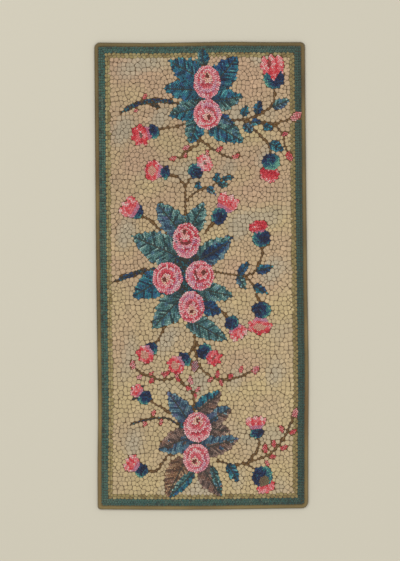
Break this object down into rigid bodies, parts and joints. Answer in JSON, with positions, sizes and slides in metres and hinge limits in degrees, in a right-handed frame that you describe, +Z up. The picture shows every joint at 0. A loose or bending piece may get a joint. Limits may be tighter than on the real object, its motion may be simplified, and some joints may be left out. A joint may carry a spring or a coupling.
{
  "type": "hooked rug",
  "caption": "Long flat hooked rug of looped wool strips, sprays of roses on a mottled tan ground inside a teal border, its edge bound in folded brown cloth.",
  "frame": {"origin": "middle of the underside, where the rug lies on the floor", "axes": "+Z up through the pile, +Y along the rug to its upper end as pictured, +X to the right as seen from above"},
  "size_m": [0.621, 1.3552, 0.009],
  "materials": {
    "hooked_wool": "matt looped wool strips, mottled tan ground with rose pinks, blue-green leaves, brown stems and a teal border",
    "binding_cloth": "matt plain-woven olive brown binding cloth, folded over the edge and hand sewn"
  },
  "bodies": {
    "root": {"hooked_field": "hooked_wool", "edge_binding": "binding_cloth"}
  },
  "joints": []
}
